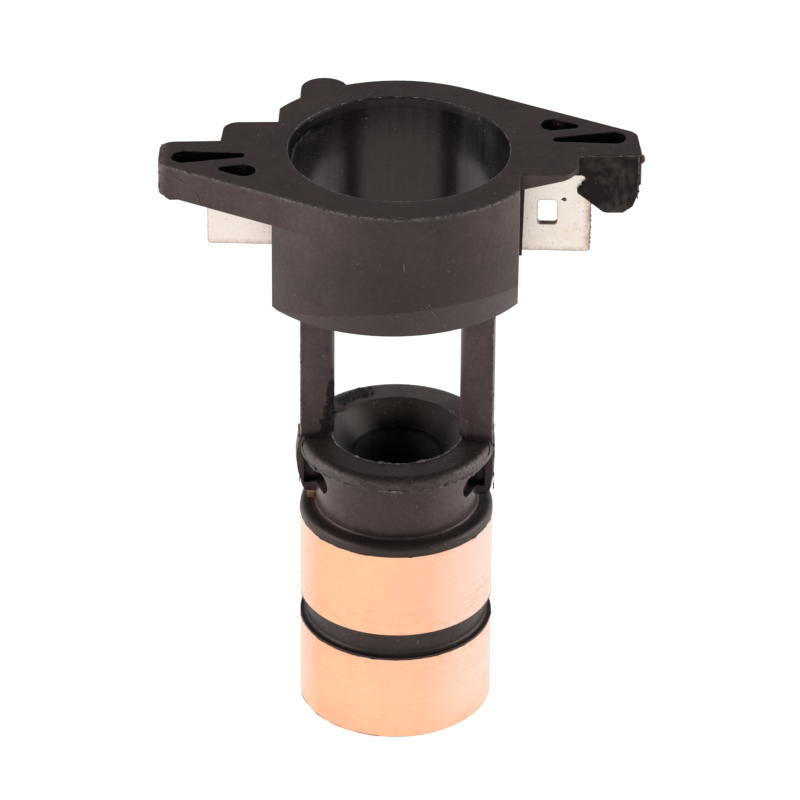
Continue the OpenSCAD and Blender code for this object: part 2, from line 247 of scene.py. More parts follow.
# %% [markdown]
# ## The black moulding
# The moulding compound is phenolic: brownish black, filled with wood flour, with a dull sheen.
# Its skin shows broad cloudy patches, a fine grain, pale dust in the pores and worn edges. Each
# region has a tint of its own. The bright and dark streaks in the collar's bore are a painted
# reflection, the sides of the collar and the neck are paler with painted light, the recess round
# the bore's top and the funnel's depth are darker with painted shade, the neck and legs are paler
# and redder, and the hook's front is darker and glossier.
#
# A region is told from its place on the part alone, as a product of ramps and bands along an
# axis or the radius. The table below holds them in mm, so it can be read and changed like a
# drawing, and the pattern stays where it is from every side.

# %% Table of regions
# Two numbers: a share that is 0 at the first place and 1 at the second. Three numbers: a band
# between the first two, with edges as soft as the third. Four: from, to, and both shares.
REGIONS = {
    # The collar's bore, its left and right walls, the recess round its top and the torn lip.
    "bore": (("radius", 8.66, 8.62), ("z", 39.2, 49.86, 0.04)),
    "right_wall": (("x", 2.5, 4.5),),
    "relief": (("radius", 8.45, 8.78, 0.02), ("z", 49.0, 49.1)),
    "lip": (("x", -4.5, -6.5), ("radius", 8.3, 8.62, 0.01), ("z", 48.45, 48.6)),
    "rim": (("radius", 9.0, 8.9), ("z", 49.2, 49.6)),
    # The collar's top and its outside.
    "top": (("z", 49.86, 49.89),),
    "flange": (("z", 44.5, 48.0), ("z", 49.86, 49.81), ("y", -3.0, -4.5)),
    "front_edge": (("y", 0.5, -1.5), ("z", 49.3, 49.6)),
    "collar_band": (("z", 39.0, 41.3, 0.12), ("radius", 9.2, 9.4)),
    "collar_sides": (("across", 3.5, 7.0), ("radius", 9.0, 9.3), ("z", 49.86, 49.8),
                     ("y", 1.0, -1.0)),
    "right_side": (("x", 7.5, 11.0), ("y", 1.0, -1.0), ("radius", 9.0, 9.3), ("z", 49.86, 49.8)),
    "left_light": (("x", -9.4, -2.6, 2.4), ("y", -6.0, -7.0), ("z", 38.9, 49.86, 0.04)),
    # The hook at +X with its nub, and the worn tip at -X.
    "hook": (("x", 13.9, 13.95), ("y", 1.4, 0.0), ("z", 49.86, 49.7)),
    "hook_low": (("x", 14.8, 18.4, 0.4), ("y", 1.0, 0.0), ("z", 44.45, 45.7, 0.45)),
    "hook_painted_highlight": (("x", 16.4, 18.5, 0.7), ("y", 1.0, 0.0), ("z", 43.8, 49.5, 1.2)),
    "nub": (("x", 18.74, 18.82), ("z", 48.6, 48.8)),
    "tip": (("x", -17.8, -18.3), ("z", 49.9, 48.0, 1.0, 0.35)),
    # The legs, the washer with its funnel, the shaft's bore and the neck.
    "legs": (("z", 24.6, 39.2, 0.5), ("radius", 8.3, 8.1)),
    "washer": (("z", 22.9, 24.5, 0.1), ("radius", 5.0, 5.4)),
    "washer_edge": (("z", 23.2, 24.3, 0.35), ("radius", 7.2, 7.5)),
    "washer_sides": (("z", 23.3, 24.5, 0.3), ("radius", 7.3, 7.6), ("across", 3.2, 5.2)),
    "washer_back": (("z", 24.2, 24.4), ("z", 24.9, 24.7), ("radius", 5.15, 5.25),
                    ("y", 2.5, 4.0)),
    "funnel": (("radius", 5.2, 5.1), ("z", 10, 24.42, 0.05)),
    "funnel_back": (("radius", 5.2, 5.1), ("z", 10, 24.42, 0.05), ("across", 3.4, 1.8),
                    ("y", 0.5, 2.0)),
    "funnel_deep": (("radius", 4.8, 3.7), ("z", 20.5, 24.3, 0.3)),
    "shaft_bore": (("radius", 4.2, 4.0), ("z", 22.6, 22.0)),
    "neck": (("z", 17.5, 23.2, 0.6), ("radius", 7.0, 6.8)),
    "neck_sides": (("z", 17.5, 22.9, 0.6), ("radius", 7.0, 6.8), ("across", 2.0, 5.6)),
}
print(len(REGIONS), "regions of the moulding")

# %% [markdown]
# Three shapes need more than a table: the blind slots in the arms, painted black inside as shade,
# the torn scar up the inner edge of the left leg, and the rubbed line along the front top edge of
# the flange, which is an arc and then the straight side of an arm.

# %% Slots, scar and rubbed outline
# The arms are half a turn apart about the point (0, ARMS_Y). For each slot of the right arm: X
# at both ends, then the middle line's Y and the half width at both ends.
ARMS_Y = 0.15
SLOT_WEDGES = ((11.8, 17.75, 1.82, 2.47, 0.40, 1.10), (10.85, 14.0, 4.42, 4.10, 1.08, 0.40))
ARM_SIDE_NORMAL, ARM_SIDE_START = (-0.454, -0.891, 0), -5.2


def slot_share(tree, place):
    """1 inside the arms' blind slots. Both are wedges along X. Seen from its own tip each arm is
    the same, so X and Y are first multiplied by the sign of X. A slot's half width falls evenly
    from its wide end to its narrow end, and so does the distance of its middle line from X."""
    x, y, z, across, _ = axes(tree, place)
    sign = add(tree, "Math", {0: x}, operation="SIGN").outputs[0]
    out = difference(tree, y, ARMS_Y)
    shares = []
    for near, far, near_y, far_y, near_half, far_half in SLOT_WEDGES:
        middle = ramp(tree, across, near, far, near_y, far_y)
        half = ramp(tree, across, near, far, near_half, far_half)
        off = magnitude(tree, difference(tree, product(tree, out, sign), middle))
        within = ramp(tree, difference(tree, off, half), 0.10, 0.05)
        shares.append(product(tree, within, band(tree, across, near, far, 0.01)))
    return product(tree, largest(tree, *shares), band(tree, z, 47.5, 49.88, 0.02))


def leg_scar_share(tree, place):
    """1 on the torn strip of the left leg. It reaches 0.85 mm further out at its foot than at
    its head, and noise frays its border."""
    x, y, z, _, _ = axes(tree, place)
    widening = ramp(tree, z, 30.5, 25.5, 0, 0.85)
    frayed = ramp(tree, grain(tree, place, 1.5, 3), 0.3, 0.7, -0.2, 0.2)
    over = sum_of(tree, x, 5.2, widening, frayed)
    return product(tree, ramp(tree, over, 0, 0.08), ramp(tree, x, -4.3, -4.5),
                   ramp(tree, y, 0.2, -0.1), band(tree, z, 24.55, 30.4, 0.1))


def rubbed_outline(tree, place):
    """A speckled band just inside the flange's front top edge. The outline is a circle on the
    collar, and at the left arm the line that touches it, so the distance from the edge comes
    from the radius or from the product of the place with the line's normal."""
    x, y, z, _, radius = axes(tree, place)
    along = add(tree, "VectorMath", {0: place, 1: ARM_SIDE_NORMAL},
                operation="DOT_PRODUCT").outputs["Value"]
    join = ARM_SIDE_START + 0.01
    reach = sum_of(tree, product(tree, along, ramp(tree, x, join, ARM_SIDE_START)),
                   product(tree, radius, ramp(tree, x, ARM_SIDE_START, join)))
    wavy = sum_of(tree, reach, ramp(tree, grain(tree, place, 1.4, 3), 0.3, 0.7, -0.12, 0.12))
    speckle = ramp(tree, grain(tree, place, 6, 3, (1, 1, 1), 0.65), 0.40, 0.58)
    return product(tree, ramp(tree, wavy, 11.2, 11.4), speckle, ramp(tree, z, 49.55, 49.75),
                   ramp(tree, y, -0.5, -1.5), ramp(tree, x, 9.4, 9.3))


def limit_share(tree, value, numbers):
    """A band from three numbers, and a ramp from two or four."""
    return (band if len(numbers) == 3 else ramp)(tree, value, *numbers)


def moulding_regions(tree, place):
    """The share of each region, which is the product of its ramps and bands."""
    at = dict(zip(("x", "y", "z", "across", "radius"), axes(tree, place)))
    shares = {"slots": slot_share(tree, place), "leg_scar": leg_scar_share(tree, place)}
    for name, limits in REGIONS.items():
        parts = [limit_share(tree, at[axis], numbers) for axis, *numbers in limits]
        shares[name] = product(tree, *parts)
    return shares


# %% [markdown]
# Each region multiplies the black by a tint. Later tints lie over earlier ones, and those of the
# sides, which are painted light, multiply what is there. On top come marks: some are colours of
# their own, and some are painted highlights and reflections. The bore's wall is the richest, a
# painted reflection: a middling back, two dark bars beside it and pale patches low down at both
# sides, all broken by lines along Z.

# %% Tints and marks of the moulding
DARK_SKIN, LIGHT_SKIN = (0.0175, 0.0122, 0.0114, 1), (0.0430, 0.0300, 0.0280, 1)
# Painted shade and light among the tints: relief darkens the recess round the bore's top,
# funnel_deep the depth of the funnel, and shaft_bore lightens the shaft's bore as painted light.
TINTS = (("legs", (3.3, 3.25, 3.5)), ("neck", (1.8, 1.65, 1.75)), ("neck_sides", (3.6, 3.4, 3.7)),
         ("flange", (1.7, 1.75, 1.75)), ("top", (1.3, 0.95, 0.92)), ("relief", (0.45, 0.45, 0.45)),
         ("funnel", (0.30, 0.36, 0.34)), ("funnel_back", (1.5, 1.9, 1.7)),
         ("washer_back", (3.0, 3.5, 3.5)), ("funnel_deep", (0.3, 0.32, 0.32)),
         ("leg_scar", (0.45, 0.45, 0.45)), ("shaft_bore", (2.0, 2.5, 2.6)),
         ("collar_band", (1.1, 1.05, 1.05)))
# The collar's sides are lighter with painted light; these tints multiply the colour that is there.
PAINTED_LIGHT_SIDES = (("collar_sides", (1.38, 1.30, 1.28)), ("right_side", (1.7, 1.75, 1.75)),
               ("left_light", (1.45, 1.48, 1.48)))
# The slots' tint darkens them as painted shade.
LAST_TINTS = (("hook", (0.42, 0.42, 0.40)), ("slots", (0.22, 0.26, 0.25)))
# The bore's wall colours; below they are scaled into a painted reflection.
LEFT_WALL, RIGHT_WALL = (0.052, 0.0435, 0.0415, 1), (0.050, 0.0485, 0.0455, 1)
TIP_DARK, TIP_LIGHT = (0.05, 0.030, 0.026, 1), (0.27, 0.185, 0.165, 1)
TORN_LIP, RED_NUB = (0.009, 0.008, 0.008, 1), (0.10, 0.05, 0.042, 1)
# Painted highlights: a sheen on the hook's right front and a lighter lower bevel.
HOOK_PAINTED_HIGHLIGHT, HOOK_LOW_HIGHLIGHT = (0.12, 0.105, 0.096, 1), (0.13, 0.115, 0.105, 1)
WASHER_SCUFF, WASHER_DRAG = (0.085, 0.062, 0.058, 1), (0.13, 0.104, 0.098, 1)
# A pale scuff on rubbed edges, which on the washer's sides is a painted highlight.
PALE_SCUFF_AND_HIGHLIGHT, OUTLINE_SCUFF = (0.20, 0.17, 0.16, 1), (0.19, 0.165, 0.155, 1)
FUNNEL_SHINE, SHINE_SPOT = (0.105, 0.102, 0.085, 1), (-3.1, 2.6, 23.2)
DUST = (0.26, 0.19, 0.165, 1)


def skin_tint(tree, region):
    """The factor that multiplies the black at each place."""
    tint = painted(tree, (1, 1, 1, 1), ((region[part], (*tone, 1)) for part, tone in TINTS))
    for part, factor in PAINTED_LIGHT_SIDES:
        tint = blend_colours(tree, region[part], tint, multiplied(tree, tint, factor))
    return painted(tree, tint, ((region[part], (*tone, 1)) for part, tone in LAST_TINTS))


def bore_painted_reflection(tree, place):
    """Painted reflection on the bore's wall: its brightness, from the distance to its middle and
    the height, with a painted highlight high at both sides.
    """
    x, _, z, across, _ = axes(tree, place)
    middle = product(tree, ramp(tree, across, 3.2, 2.6), ramp(tree, z, 49, 43, 0.55, 1.0))
    low_side = product(tree, band(tree, across, 4.2, 7.0, 0.5), ramp(tree, z, 45.9, 44.9))
    high_side = product(tree, ramp(tree, across, 4.4, 5.0), ramp(tree, x, 3, 5, 0.28, 0.55))
    sheen = product(tree, band(tree, z, 47.6, 49.3, 0.5), ramp(tree, across, 5.8, 7.4), 0.5)
    streaked = ramp(tree, grain(tree, place, 1.0, 3, (2.2, 2.2, 0.12)), 0.3, 0.7, 0.7, 1.3)
    scratch = ramp(tree, grain(tree, place, 5, 2, (0.25, 0.25, 3)), 0.35, 0.65, 0.85, 1.15)
    total = sum_of(tree, 0.22, middle, product(tree, low_side, 1.5), high_side, sheen)
    return product(tree, total, streaked, scratch, ramp(tree, across, 7.8, 6.9, 0.35, 1.0))


def moulding_marks(tree, place, region):
    """Coats for the marks. Some are colours of their own; the bore's wall is a painted reflection,
    and the hook's sheen and low bevel, the funnel's shine and the washer's sides are painted
    highlights.
    """
    wall = blend_colours(tree, region["right_wall"], LEFT_WALL, RIGHT_WALL)
    crumbly = ramp(tree, grain(tree, place, 4.5, 4, (1, 1, 1), 0.65), 0.38, 0.66)
    streaky = ramp(tree, grain(tree, place, 1.0, 4, (2.5, 2.5, 0.5)), 0.42, 0.66)
    dragged = ramp(tree, grain(tree, place, 1.1, 4, (1, 1, 3.5), 0.65), 0.42, 0.62)
    near_shine = ramp(tree, far_from(tree, place, SHINE_SPOT), 1.9, 0.4)
    scuffed = product(tree, region["washer"], ramp(tree, crumbly, 0.35, 0.9))
    return (
        (region["bore"], scaled(tree, wall, bore_painted_reflection(tree, place))),
        (region["lip"], TORN_LIP),
        (region["tip"], blend_colours(tree, crumbly, TIP_DARK, TIP_LIGHT)),
        (product(tree, region["funnel"], near_shine), FUNNEL_SHINE),
        (region["nub"], RED_NUB),
        (product(tree, region["hook_painted_highlight"], streaky, 0.8), HOOK_PAINTED_HIGHLIGHT),
        (product(tree, region["hook_low"], crumbly, 0.8), HOOK_LOW_HIGHLIGHT),
        (product(tree, scuffed, 0.35), WASHER_SCUFF),
        (product(tree, region["washer_edge"], dragged, 0.75), WASHER_DRAG),
        (product(tree, region["washer_sides"], crumbly, 0.8), PALE_SCUFF_AND_HIGHLIGHT))


# %% [markdown]
# Wear comes last. Edges are found with a Bevel node: where its rounded normal turns away from the
# true one, the surface is near an edge. Painted shade in slots and slits is found with an Ambient
# Occlusion node, which darkens the colour and dulls the gloss.

# %% Moulding material


def moulding_wear(tree, place, region, edge):
    """Coats for edges rubbed pale in patches, the rubbed outline, and dust in the pores."""
    patchy = ramp(tree, grain(tree, place, 1.6, 3), 0.40, 0.60)
    rubbed = sum_of(tree, 0.2, product(tree, region["front_edge"], 0.8),
                    product(tree, region["rim"], 0.8), product(tree, region["washer"], 0.5))
    dust = product(tree, ramp(tree, grain(tree, place, 4.2, 0), 0.735, 0.80),
                   ramp(tree, grain(tree, place, 0.55, 1), 0.52, 0.62))
    return ((product(tree, edge, patchy, rubbed), PALE_SCUFF_AND_HIGHLIGHT),
            (product(tree, rubbed_outline(tree, place), 0.8), OUTLINE_SCUFF),
            (product(tree, dust, 0.5), DUST))


def phenolic():
    """Brownish black with cloudy tone, fine grain, pale specks and edges rubbed lighter."""
    material, tree, output, place = new_material("moulding_compound")
    soft, facing, _ = rounded_normal(tree, 0.12)
    edge = ramp(tree, facing, 0.99, 0.8)
    # Painted shade: Ambient Occlusion darkens the colour and dulls the gloss in hollows.
    hollow = add(tree, "AmbientOcclusion", {"Distance": 1.5 * MM}, samples=8,
                 only_local=True).outputs["AO"]
    open_share = ramp(tree, hollow, 0.25, 0.8, 0.12, 1.0)
    region = moulding_regions(tree, place)

    cloud = grain(tree, place, 0.26, 4, (1, 1, 0.6), 0.6)
    fine = grain(tree, place, 2.6, 3)
    pore = grain(tree, place, 9, 1)
    tone = sum_of(tree, product(tree, cloud, 0.65), product(tree, fine, 0.35))
    skin = blend_colours(tree, ramp(tree, tone, 0.36, 0.64), DARK_SKIN, LIGHT_SKIN)
    base = multiplied(tree, skin, skin_tint(tree, region))
    base = painted(tree, base, moulding_marks(tree, place, region))
    base = painted(tree, base, moulding_wear(tree, place, region, edge))

    mottle = product(tree, region["hook"], ramp(tree, grain(tree, place, 1.3, 5), 0.45, 0.75))
    gloss = sum_of(tree, 0.5, product(tree, region["hook"], -0.32),
                   product(tree, region["slots"], -0.35),
                   product(tree, region["funnel_deep"], -0.35), product(tree, mottle, 0.3))
    rough = sum_of(tree, ramp(tree, tone, 0.3, 0.7, 0.50, 0.40),
                   product(tree, region["bore"], -0.22), product(tree, region["neck"], -0.12))
    height = sum_of(tree, product(tree, fine, 0.6), product(tree, pore, 0.4),
                    product(tree, region["washer"], grain(tree, place, 4, 3), 0.8))
    return principled(material, output, {
        "Base Color": scaled(tree, base, open_share), "Roughness": rough,
        "Specular Tint": (1.0, 0.80, 0.77, 1),
        "Specular IOR Level": product(tree, gloss, open_share),
        "Normal": relief(tree, 0.4, 0.02, height, Normal=soft)})


# %% [markdown]
# ## Torn compound
# Where the moulding broke or was trimmed, its filler shows: fibrous, matt, and paler or redder
# than the skin. One small recipe makes every torn finish, also the burr of the sheared copper,
# so the colours are given when it is called.

# %% Torn and rubbed materials


def torn(name, dark, light, size=6.0):
    """Matt, broken filler between two colours, whose patches are about 1/size mm."""
    material, tree, output, place = new_material(name)
    spread = ramp(tree, grain(tree, place, size, 3), 0.38, 0.62)
    return principled(material, output, {
        "Base Color": blend_colours(tree, spread, (*dark, 1), (*light, 1)),
        "Roughness": ramp(tree, spread, 0, 1, 0.6, 0.8),
        "Normal": relief(tree, 0.6, 0.03, grain(tree, place, 2 * size, 2))})


# The rubbed and the dull compound colour flash and wear, and also pale lines of painted highlight
# along the hook, the shoulder and the bore's ledge and lip.
RUBBED_AND_HIGHLIGHT = torn("pale_wear_and_highlight_compound", (0.07, 0.058, 0.054), (0.38, 0.32, 0.30), 4.0)
RED_TORN = torn("torn_red_compound", (0.12, 0.08, 0.074), (0.46, 0.36, 0.33))
DULL_AND_HIGHLIGHT = torn("dull_wear_and_highlight_compound", (0.05, 0.042, 0.039), (0.30, 0.255, 0.24), 3.0)
BURR = torn("torn_copper_edge", (0.22, 0.12, 0.085), (0.78, 0.58, 0.50), 3.0)
BLACK_TORN = torn("torn_black_compound", (0.006, 0.005, 0.005), (0.028, 0.022, 0.02))
FIBRE = torn("pale_fibre", (0.16, 0.13, 0.12), (0.42, 0.35, 0.32))

# %% [markdown]
# ## Copper and tin
# The rings are turned on a lathe, so their skin has fine lines that run round the axis. Noise that
# is squeezed along Z gives lines at every height that fade slowly round the ring. Use has left
# reddish smears, mostly near the rims, and the copper is paler at both sides with painted
# highlight.
#
# The contact plates are copper sheet dipped in tin, which gives a cream, pitted skin. Their
# sheared edges show copper again, and so does the strip under the left foot.

# %% Copper material
COPPER_TONES = {"orange": (1.0, 0.56, 0.345, 1), "pink": (0.98, 0.53, 0.36, 1),
                "patch": (1, 0.62, 0.41, 1), "warm_cast": (1.0, 0.60, 0.34, 1),
                "painted_side_highlight": (1.0, 0.72, 0.61, 1), "foot": (1.0, 0.50, 0.29, 1),
                "line": (0.86, 0.43, 0.29, 1), "smear": (0.80, 0.33, 0.19, 1),
                "nick": (0.45, 0.20, 0.13, 1)}


def turned_copper():
    """Bright copper with fine lines round Z, orange and pink areas, and red smears."""
    material, tree, output, place = new_material("turned_copper")
    x, _, z, _, _ = axes(tree, place)
    lines = grain(tree, place, 0.03, 4, (1, 1, 440), 0.7)
    patch = grain(tree, place, 0.22, 3, (1, 1, 0.7))
    # Painted highlight: the copper is paler towards both sides.
    sides = sum_of(tree, ramp(tree, x, 2.6, 7.0, 0, 0.95), ramp(tree, x, -6.2, -7.5, 0, 0.85))
    cast = ramp(tree, grain(tree, place, 0.32, 3, (1, 1, 0.8), 0.6), 0.42, 0.62)
    fine = product(tree, ramp(tree, lines, 0.5, 0.36), ramp(tree, patch, 0.35, 0.6, 0.3, 1))
    rims = largest(tree, ramp(tree, z, 2.6, 0.4), band(tree, z, 9.9, 12.2, 0.1),
                   ramp(tree, z, 16.6, 17.2), band(tree, z, 6.6, 7.5, 0.1))
    smear = product(tree, ramp(tree, grain(tree, place, 0.8, 5, (1, 1, 2.6), 0.7), 0.5, 0.72),
                    ramp(tree, rims, 0, 1, 0.16, 0.6))
    nick = ramp(tree, grain(tree, place, 3.2, 1, (1, 1, 1.6)), 0.765, 0.80)
    shares = {
        "patch": ramp(tree, patch, 0.5, 0.7, 0, 0.5),
        "warm_cast": product(tree, cast, ramp(tree, x, 4.0, -1.0, 0.1, 0.45)),
        "painted_side_highlight": sides, "foot": ramp(tree, z, 3.4, 0.3, 0, 0.45),
        "line": product(tree, fine, 0.5), "smear": smear, "nick": product(tree, nick, 0.6)}
    colour = blend_colours(tree, ramp(tree, x, -2.6, 1.2), COPPER_TONES["orange"],
                           COPPER_TONES["pink"])
    colour = painted(tree, colour, ((share, COPPER_TONES[n]) for n, share in shares.items()))
    return principled(material, output, {
        "Base Color": colour, "Metallic": 1.0,
        "Roughness": ramp(tree, patch, 0.3, 0.7, 0.30, 0.44),
        "Normal": relief(tree, 0.3, 0.004, lines)})


# %% Tinned sheet material
PIT = (12.91, -0.3, 45.89)
TIN_TONES = {"dark": (0.97, 0.84, 0.73, 1), "light": (1.0, 0.93, 0.85, 1),
             "left_plate": (0.98, 0.86, 0.80, 1), "fine_pits": (0.40, 0.30, 0.25, 1),
             "stain": (0.60, 0.40, 0.30, 1), "pit": (0.06, 0.05, 0.04, 1),
             "border": (0.30, 0.17, 0.13, 1)}
SHEARED_DARK, SHEARED_LIGHT = (0.20, 0.11, 0.08, 1), (0.60, 0.40, 0.32, 1)
BARE_STRIP = (0.66, 0.33, 0.22, 1)


def tinned_sheet():
    """Cream tin with small dark pits, brown at its border and copper on its sheared edges."""
    material, tree, output, place = new_material("tinned_copper_sheet")
    x, _, z, _, _ = axes(tree, place)
    _, facing, true = rounded_normal(tree, 0.18)
    lean = add(tree, "SeparateXYZ", {0: true}).outputs["Y"]
    flat = ramp(tree, magnitude(tree, lean), 0.8, 0.9)
    cloud = grain(tree, place, 0.5, 4, (1, 1, 1), 0.6)
    pits = product(tree, ramp(tree, grain(tree, place, 6.5, 2), 0.61, 0.69),
                   ramp(tree, grain(tree, place, 0.8, 2), 0.40, 0.56))
    outer = largest(tree, ramp(tree, x, 14.4, 14.8), ramp(tree, z, 41.8, 41.35, 0, 0.8))
    spotty = ramp(tree, grain(tree, place, 3.0, 4), 0.36, 0.60, 0.25, 0.95)
    wavy = sum_of(tree, far_from(tree, place, PIT),
                  ramp(tree, grain(tree, place, 6, 1), 0.3, 0.7, -0.08, 0.08))
    border = product(tree, ramp(tree, facing, 0.99, 0.90),
                     ramp(tree, grain(tree, place, 2.2, 3), 0.28, 0.42))
    shares = {
        "left_plate": ramp(tree, x, 0, -1, 0, 0.7), "fine_pits": product(tree, pits, 0.6),
        "stain": product(tree, outer, spotty), "pit": ramp(tree, wavy, 0.20, 0.13),
        "border": product(tree, border, 0.9)}
    base = blend_colours(tree, ramp(tree, cloud, 0.35, 0.65), TIN_TONES["dark"],
                         TIN_TONES["light"])
    base = painted(tree, base, ((share, TIN_TONES[n]) for n, share in shares.items()))
    sheared = blend_colours(tree, ramp(tree, grain(tree, place, 4, 2), 0.4, 0.6),
                            SHEARED_DARK, SHEARED_LIGHT)
    colour = blend_colours(tree, flat, sheared, base)
    return principled(material, output, {
        "Base Color": blend_colours(tree, ramp(tree, z, 30, 29), colour, BARE_STRIP),
        "Metallic": ramp(tree, flat, 0, 1, 0.3, 0.85), "Roughness": 0.42,
        "Normal": relief(tree, 0.35, 0.01, grain(tree, place, 3.4, 2))})


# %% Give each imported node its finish
BLACK, COPPER, TIN = phenolic(), turned_copper(), tinned_sheet()
FINISHES = {"moulded_body": BLACK, "upper_slip_ring": COPPER, "lower_slip_ring": COPPER,
            "upper_ring_conductor": TIN, "lower_ring_conductor": TIN}
for name, finish in FINISHES.items():
    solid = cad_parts[name]
    solid.data.materials.clear()
    solid.data.materials.append(finish)
print("finishes:", {name: finish.name for name, finish in FINISHES.items()})

# %% [markdown]
# ## Threads, fins and crumbs
# Everything that is too fine for the CAD is one of three shapes. A thread is a round profile
# carried along a path: fibres, curls, and the ragged flash where the mould's halves met, which
# is a thread whose width and offset wander. A fin is a thin wedge on a path, whose height
# wanders. A crumb is a ball whose radius wanders with its two angles. All are worked out as
# whole arrays, many at once, and closed by the same rule for faces.

# %% Closed shells


def shell_faces(rings, sides):
    """Faces of a closed shell that has a first pole, rings of points and a last pole: quads
    join each ring to the next, and triangles close both ends."""
    here = np.arange(sides)
    onward = (here + 1) % sides
    row = 1 + np.arange(rings - 1)[:, None] * sides
    last = 1 + (rings - 1) * sides
    walls = np.stack([row + here, row + onward, row + sides + onward, row + sides + here], 2)
    first_cap = np.stack([0 * here, 1 + onward, 1 + here], 1)
    last_cap = np.stack([0 * here + last + sides, last + here, last + onward], 1)
    return walls.reshape(-1, 4), np.concatenate([first_cap, last_cap])


# %% Threads
LEAN = np.array((0.36, 0.48, 0.80))


def threads(paths, widths, sides=5):
    """Closed threads along paths of n points. Round each inner point runs a ring:
    point + width * (cos(a) * side + sin(a) * up), and the first and last points close it."""
    count, steps = paths.shape[:2]
    along = np.gradient(paths, axis=1)
    along /= np.linalg.norm(along, axis=2, keepdims=True)
    side = np.cross(along, LEAN)
    side /= np.linalg.norm(side, axis=2, keepdims=True)
    up = np.cross(along, side)
    turn = np.linspace(0, 2 * np.pi, sides, endpoint=False)[:, None]
    spoke = np.cos(turn) * side[:, 1:-1, None] + np.sin(turn) * up[:, 1:-1, None]
    rings = paths[:, 1:-1, None] + widths[:, 1:-1, None, None] * spoke
    points = np.concatenate([paths[:, :1], rings.reshape(count, -1, 3), paths[:, -1:]], axis=1)
    return points, *shell_faces(steps - 2, sides)


# %% Fins


def fin(base, lean, height, thick):
    """A closed, ragged fin on a path. At each point its section is a wedge: base - thick * side
    and base + thick * side, and the same two, a third as far apart, at base + height * lean."""
    along = np.gradient(base, axis=0)
    side = np.cross(lean, along)
    side *= thick / np.linalg.norm(side, axis=1, keepdims=True)
    top = base + height[:, None] * lean
    ring = np.stack([base - side, base + side, top + side / 3, top - side / 3], 1)
    points = np.concatenate([base[:1], ring[1:-1].reshape(-1, 3), base[-1:]])
    return points[None], *shell_faces(len(base) - 2, 4)


# %% Crumbs


def crumbs(centres, sizes, rng, rounds=9, levels=6):
    """Closed lumps. Each point is centre + size * swell * direction, where direction comes from
    a turn and a height angle, and swell is 1 plus three waves of random phase and strength."""
    count = len(centres)
    turn = np.linspace(0, 2 * np.pi, rounds, endpoint=False)[None, :]
    rise = np.linspace(-np.pi / 2, np.pi / 2, levels + 2)[1:-1, None]
    direction = np.stack([np.cos(rise) * np.cos(turn), np.cos(rise) * np.sin(turn),
                          np.sin(rise) + 0 * turn], 2)
    phase = rng.uniform(0, 2 * np.pi, (3, count, 1, 1))
    force = rng.uniform(0.1, 0.35, (3, count, 1, 1))
    swell = 1 + np.cos(rise) * (force[0] * np.sin(turn + phase[0])
                                + force[1] * np.sin(2 * turn + 3 * rise + phase[1])
                                + force[2] * np.sin(3 * turn - 2 * rise + phase[2]))
    size = sizes[:, None, None, :]
    rings = centres[:, None, None] + size * swell[..., None] * direction
    pole = np.array((0, 0, 1.0)) * sizes
    points = np.concatenate([(centres - pole)[:, None], rings.reshape(count, -1, 3),
                             (centres + pole)[:, None]], axis=1)
    return points, *shell_faces(levels, rounds)


# %% One mesh from many copies
BOX_MARGIN = 0.002


def piece(name, shape, finish):
    """Joins the copies of a shape into one mesh, keeps it inside the CAD box, and lets it ride."""
    points, quads, triangles = shape
    start = (np.arange(len(points)) * points.shape[1])[:, None, None]
    faces = [*(quads + start).reshape(-1, 4).tolist(),
             *(triangles + start).reshape(-1, 3).tolist()]
    inside = np.clip(points.reshape(-1, 3), LOW + BOX_MARGIN, HIGH - BOX_MARGIN) * MM
    mesh = bpy.data.meshes.new(name)
    mesh.from_pydata(inside.tolist(), [], faces)
    mesh.polygons.foreach_set("use_smooth", np.ones(len(faces), bool))
    mesh.materials.append(finish)
    made = bpy.data.objects.new(name, mesh)
    bpy.context.scene.collection.objects.link(made)
    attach(made, "root")
    print(name, len(points), "copies,", len(faces), "faces")
    return made


# %% [markdown]
# ## Flash along the edges
# Flash is the thin, broken fin that is left where the mould closes. Here it runs along the
# front top edge of the flange, round the rim of the bore, down the outer corners of the legs
# and round the washer. Each edge is first a smooth path, and then its width and its offset
# wander by smooth noise, so that the fin comes and goes. One seeded generator makes all the
# random numbers, so every run gives the same flash.

# %% Paths on the moulding
PATH_STEP = 0.05
rng = np.random.default_rng(7)


def wander(rng, count, knots):
    """Smooth noise between 0 and 1: random values at even knots, joined by straight lines."""
    return np.interp(np.linspace(0, knots - 1, count), np.arange(knots), rng.uniform(0, 1, knots))


def around(radius, start, end, z):
    """An arc round Z from a start to an end angle in degrees. Radius and z may be arrays."""
    reach = abs(math.radians(end - start)) * np.max(radius)
    turn = np.radians(np.linspace(start, end, max(8, int(reach / PATH_STEP))))
    return np.stack([radius * np.cos(turn), radius * np.sin(turn), z + 0 * turn], 1)


def ragged(path, rng, width, drift, keep=1.0, spacing=0.5):
    """A path with an offset that wanders by up to half the drift, and its widths, which sink to
    almost nothing over the share of the length that isn't kept. Knots lie a spacing apart."""
    count = len(path)
    knots = max(4, int(np.linalg.norm(np.diff(path, axis=0), axis=1).sum() / spacing))
    thick = np.clip(wander(rng, count, knots) - (1 - keep), 0.02, 1) / keep
    thick *= 0.6 + 0.8 * wander(rng, count, 4 * knots)
    offset = np.stack([wander(rng, count, 3 * knots) for _ in range(3)], 1) - 0.5
    return (path + drift * offset)[None], (width * thick)[None]


def flash(name, path, finish, **wandering):
    """A ragged thread along a path, as a piece."""
    return piece(name, threads(*ragged(path, rng, **wandering)), finish)


